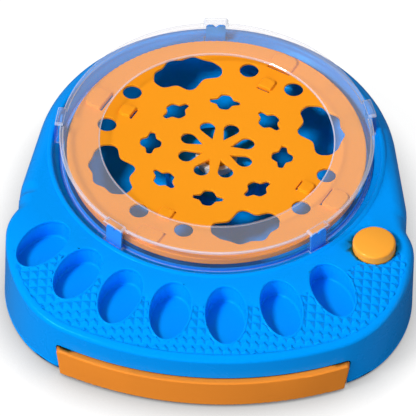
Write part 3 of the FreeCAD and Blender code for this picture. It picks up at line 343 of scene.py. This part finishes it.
def knurlSlab():              # the sunk field's own faces, given thickness, trim the pyramids
    mesh = nodes["upper_housing"].data
    bm = bmesh.new()
    bm.from_mesh(mesh)
    bmesh.ops.remove_doubles(bm, verts=bm.verts, dist=knurl["seam"])
    wrong = []
    for face in bm.faces:
        c = face.calc_center_median()
        off = [abs(v.co.z - deckHeight(v.co.x, v.co.y) + knurl["sink"]) for v in face.verts]
        if max(off) > knurl["near"] or face.normal.z < knurl["upright"] or c.y > 0:
            wrong.append(face)
    bmesh.ops.delete(bm, geom=wrong, context="FACES")
    print("grip field faces:", len(bm.faces))
    for v in bm.verts:
        v.co.z -= knurl["slabDrop"]
    lifted = bmesh.ops.extrude_face_region(bm, geom=bm.faces[:], use_keep_orig=True)
    for v in lifted["geom"]:
        if isinstance(v, bmesh.types.BMVert):
            v.co.z += knurl["slabHeight"]
    bmesh.ops.recalc_face_normals(bm, faces=bm.faces)
    slab = bpy.data.meshes.new("knurlSlab")
    bm.to_mesh(slab)
    bm.free()
    return bpy.data.objects.new("knurlSlab", slab)


slab = knurlSlab()
bpy.context.scene.collection.objects.link(slab)


def knurlTree():
    tree = bpy.data.node_groups.new("knurlField", "GeometryNodeTree")
    sockets = {}
    for label, value in (("Pitch", knurl["pitch"]), ("Height", knurl["height"]), ("Sink", knurl["sink"]),
                         ("Offset X", knurl["offsetX"]), ("Offset Y", knurl["offsetY"])):
        socket = tree.interface.new_socket(label, in_out="INPUT", socket_type="NodeSocketFloat")
        socket.default_value = value
        sockets[label] = socket.identifier
    slabIn = tree.interface.new_socket("Slab", in_out="INPUT", socket_type="NodeSocketObject")
    sockets["Slab"] = slabIn.identifier
    matIn = tree.interface.new_socket("Material", in_out="INPUT", socket_type="NodeSocketMaterial")
    sockets["Material"] = matIn.identifier
    tree.interface.new_socket("Geometry", in_out="OUTPUT", socket_type="NodeSocketGeometry")
    inp, out = tree.nodes.new("NodeGroupInput"), tree.nodes.new("NodeGroupOutput")
    link = tree.links.new

    def math(op, a, b=None, c=None):
        node = tree.nodes.new("ShaderNodeMath")
        node.operation = op
        for k, value in enumerate((a, b, c)):
            if value is None:
                continue
            if isinstance(value, (int, float)):
                node.inputs[k].default_value = value
            else:
                link(value, node.inputs[k])
        return node.outputs[0]

    countX = 2 * round(knurl["width"] / knurl["pitch"]) + 1
    countY = 2 * round(knurl["depth"] / knurl["pitch"]) + 1
    half = math("MULTIPLY", inp.outputs["Pitch"], 0.5)
    grid = tree.nodes.new("GeometryNodeMeshGrid")
    grid.inputs["Vertices X"].default_value = countX
    grid.inputs["Vertices Y"].default_value = countY
    link(math("MULTIPLY", half, countX - 1), grid.inputs["Size X"])
    link(math("MULTIPLY", half, countY - 1), grid.inputs["Size Y"])
    place = tree.nodes.new("GeometryNodeInputPosition")
    split = tree.nodes.new("ShaderNodeSeparateXYZ")
    link(place.outputs[0], split.inputs[0])
    stepX = math("ROUND", math("DIVIDE", split.outputs[0], half))
    stepY = math("ROUND", math("DIVIDE", split.outputs[1], half))
    peak = math("MULTIPLY", math("FLOORED_MODULO", stepX, 2), math("FLOORED_MODULO", stepY, 2))
    atX = math("ADD", split.outputs[0], inp.outputs["Offset X"])
    midY = knurl["frontY"] + knurl["depth"] / 2
    atY = math("ADD", math("ADD", split.outputs[1], inp.outputs["Offset Y"]), midY)
    fromY = math("SUBTRACT", atY, spindleBack + knurl["domeBack"])
    reach = math("SQRT", math("ADD", math("MULTIPLY", atX, atX), math("MULTIPLY", fromY, fromY)))
    past = math("MAXIMUM", math("SUBTRACT", reach, knurl["domeFlat"]), 0.0)
    rise = math("SQRT", math("SUBTRACT", knurl["domeRadius"] ** 2, math("MULTIPLY", past, past)))
    floorZ = math("SUBTRACT", math("ADD", rise, knurl["deck"] - knurl["domeRadius"]), inp.outputs["Sink"])
    topZ = math("ADD", floorZ, math("MULTIPLY", peak, inp.outputs["Height"]))
    join = tree.nodes.new("ShaderNodeCombineXYZ")
    for k, value in enumerate((atX, atY, topZ)):
        link(value, join.inputs[k])
    lift = tree.nodes.new("GeometryNodeSetPosition")
    link(grid.outputs["Mesh"], lift.inputs["Geometry"])
    link(join.outputs[0], lift.inputs["Position"])
    facets = tree.nodes.new("GeometryNodeTriangulate")
    facets.quad_method = "LONGEST_DIAGONAL"
    link(lift.outputs[0], facets.inputs[0])
    thick = tree.nodes.new("GeometryNodeExtrudeMesh")
    thick.inputs["Individual"].default_value = False
    down = tree.nodes.new("ShaderNodeCombineXYZ")
    down.inputs[2].default_value = -1.0
    link(facets.outputs[0], thick.inputs["Mesh"])
    link(down.outputs[0], thick.inputs["Offset"])
    thick.inputs["Offset Scale"].default_value = knurl["skin"]
    both = tree.nodes.new("GeometryNodeJoinGeometry")
    flip = tree.nodes.new("GeometryNodeFlipFaces")
    link(facets.outputs[0], flip.inputs[0])
    link(thick.outputs["Mesh"], both.inputs[0])
    link(flip.outputs[0], both.inputs[0])
    weld = tree.nodes.new("GeometryNodeMergeByDistance")
    weld.inputs["Distance"].default_value = knurl["weld"]
    link(both.outputs[0], weld.inputs["Geometry"])
    turn = tree.nodes.new("GeometryNodeFlipFaces")
    link(weld.outputs[0], turn.inputs[0])
    fetch = tree.nodes.new("GeometryNodeObjectInfo")
    link(inp.outputs["Slab"], fetch.inputs["Object"])
    trim = tree.nodes.new("GeometryNodeMeshBoolean")
    trim.operation = "INTERSECT"
    link(turn.outputs[0], trim.inputs["Mesh 2"])
    link(fetch.outputs["Geometry"], trim.inputs["Mesh 2"])
    solid = tree.nodes.new("GeometryNodeRealizeInstances")
    link(trim.outputs["Mesh"], solid.inputs[0])
    paint = tree.nodes.new("GeometryNodeSetMaterial")
    link(solid.outputs[0], paint.inputs["Geometry"])
    link(inp.outputs["Material"], paint.inputs["Material"])
    link(paint.outputs[0], out.inputs[0])
    return tree, sockets


def makeKnurl():
    tree, sockets = knurlTree()
    piece = bpy.data.objects.new("knurl_field", bpy.data.meshes.new("knurl_field"))
    bpy.context.scene.collection.objects.link(piece)
    mod = piece.modifiers.new("knurl", "NODES")
    mod.node_group = tree
    mod[sockets["Slab"]] = slab
    mod[sockets["Material"]] = materials["housing"]
    final = bpy.data.meshes.new_from_object(piece.evaluated_get(bpy.context.evaluated_depsgraph_get()))
    piece.modifiers.clear()
    piece.data = final
    final.materials.clear()
    final.materials.append(materials["housing"])
    print("knurl faces:", len(final.polygons))
    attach(piece, "body")


makeKnurl()
bpy.data.objects.remove(slab)


# Stage, light and camera

# The floor's glow is darkened near the object by ambient occlusion out to a set reach: a painted contact
# shadow.
stageLook = {
    "floor": 2.4, "floorColor": (0.12, 0.118, 0.115), "floorGlow": 0.96, "contact": 0.03, "sky": 0.17,
    "keyAngle": 13.0, "keyPower": 2.7, "keyFrom": (-0.58, -0.36, 0.73),
    "topPower": 0.15, "topAngle": 35.0, "topFrom": (-0.15, 0.25, 1.0),
    "frontPower": 1.4, "frontAngle": 50.0, "frontFrom": (-0.25, -1.0, 0.2),
    "sidePower": 0.65, "sideAngle": 50.0, "sideFrom": (1.0, -0.1, 0.35),
}


def makeFloor(look=stageLook):
    bm = bmesh.new()
    bmesh.ops.create_grid(bm, x_segments=4, y_segments=4, size=look["floor"])
    mesh = bpy.data.meshes.new("floor")
    bm.to_mesh(mesh)
    bm.free()
    floor = bpy.data.objects.new("floor", mesh)
    bpy.context.scene.collection.objects.link(floor)
    mat, tree, shader = newMaterial("floor", rough=0.9, specular=0.0)
    shader.inputs["Base Color"].default_value = (*look["floorColor"], 1)
    path = addNode(tree, "ShaderNodeLightPath")
    glow = addNode(tree, "ShaderNodeMath", operation="MULTIPLY")
    glow.inputs[1].default_value = look["floorGlow"]
    # Ambient occlusion colours the floor's camera-ray glow, so it darkens close to the object: a painted
    # contact shadow.
    near = addNode(tree, "ShaderNodeAmbientOcclusion", samples=8, Distance=look["contact"])
    tree.links.new(near.outputs["Color"], shader.inputs["Emission Color"])
    tree.links.new(path.outputs["Is Camera Ray"], glow.inputs[0])
    tree.links.new(glow.outputs[0], shader.inputs["Emission Strength"])
    mesh.materials.append(mat)


def makeWorld(look=stageLook):
    world = bpy.data.worlds.new("softRoom")
    bpy.context.scene.world = world
    world.use_nodes = True
    tree = world.node_tree
    back = tree.nodes["Background"]
    back.inputs["Color"].default_value = (1, 1, 1, 1)
    path = tree.nodes.new("ShaderNodeLightPath")
    seen = tree.nodes.new("ShaderNodeMath")
    seen.operation = "MAXIMUM"
    tree.links.new(path.outputs["Is Camera Ray"], seen.inputs[0])
    tree.links.new(path.outputs["Is Transmission Ray"], seen.inputs[1])
    level = tree.nodes.new("ShaderNodeMapRange")
    level.inputs["To Min"].default_value = look["sky"]
    level.inputs["To Max"].default_value = 1.0
    tree.links.new(seen.outputs[0], level.inputs["Value"])
    tree.links.new(level.outputs[0], back.inputs["Strength"])


def makeLamp(name, kind, power, place, **more):
    lamp = bpy.data.lights.new(name, kind)
    lamp.energy = power
    for key, value in more.items():
        setattr(lamp, key, value)
    holder = bpy.data.objects.new(name, lamp)
    holder.rotation_euler = Vector(place).to_track_quat("Z", "Y").to_euler()
    holder.location = place
    bpy.context.scene.collection.objects.link(holder)


makeFloor()
makeWorld()
for side, name in (("key", "keySun"), ("top", "topFill"), ("front", "frontFill"), ("side", "sideFill")):
    spread = radians(stageLook[side + "Angle"])
    makeLamp(name, "SUN", stageLook[side + "Power"], stageLook[side + "From"], angle=spread)

view = {"turn": 1.8, "tilt": 47.15, "roll": 1.75, "far": 13.45, "lens": 1731.0, "aimHeight": 59 * mm,
        "pixelX": 216.65, "pixelY": 149.35, "image": 416, "sensor": 36.0, "clipEnd": 100}


def makeCamera(look=view):
    cam = bpy.data.cameras.new("viewer")
    cam.sensor_width = look["sensor"]
    cam.lens = look["lens"]
    cam.clip_end = look["clipEnd"]
    holder = bpy.data.objects.new("viewer", cam)
    bpy.context.scene.collection.objects.link(holder)
    turn, tilt = radians(look["turn"]), radians(look["tilt"])
    away = Vector((sin(turn) * cos(tilt), -cos(turn) * cos(tilt), sin(tilt)))
    right = Vector((cos(turn), sin(turn), 0))
    up = away.cross(right)
    roll = Matrix.Rotation(radians(look["roll"]), 3, away)
    right, up = roll @ right, roll @ up
    mmPerPixel = look["far"] * cam.sensor_width / cam.lens / look["image"]
    target = Vector((0, spindleBack, look["aimHeight"]))
    target -= right * (look["pixelX"] - look["image"] / 2) * mmPerPixel
    target += up * (look["pixelY"] - look["image"] / 2) * mmPerPixel
    eye = target + away * look["far"]
    frameAxes = Matrix((right, up, away)).transposed().to_4x4()
    holder.matrix_world = Matrix.Translation(eye) @ frameAxes
    bpy.context.scene.camera = holder


makeCamera()
print("stage, lamps and camera placed")
scene = bpy.context.scene
scene.view_settings.view_transform = "Standard"
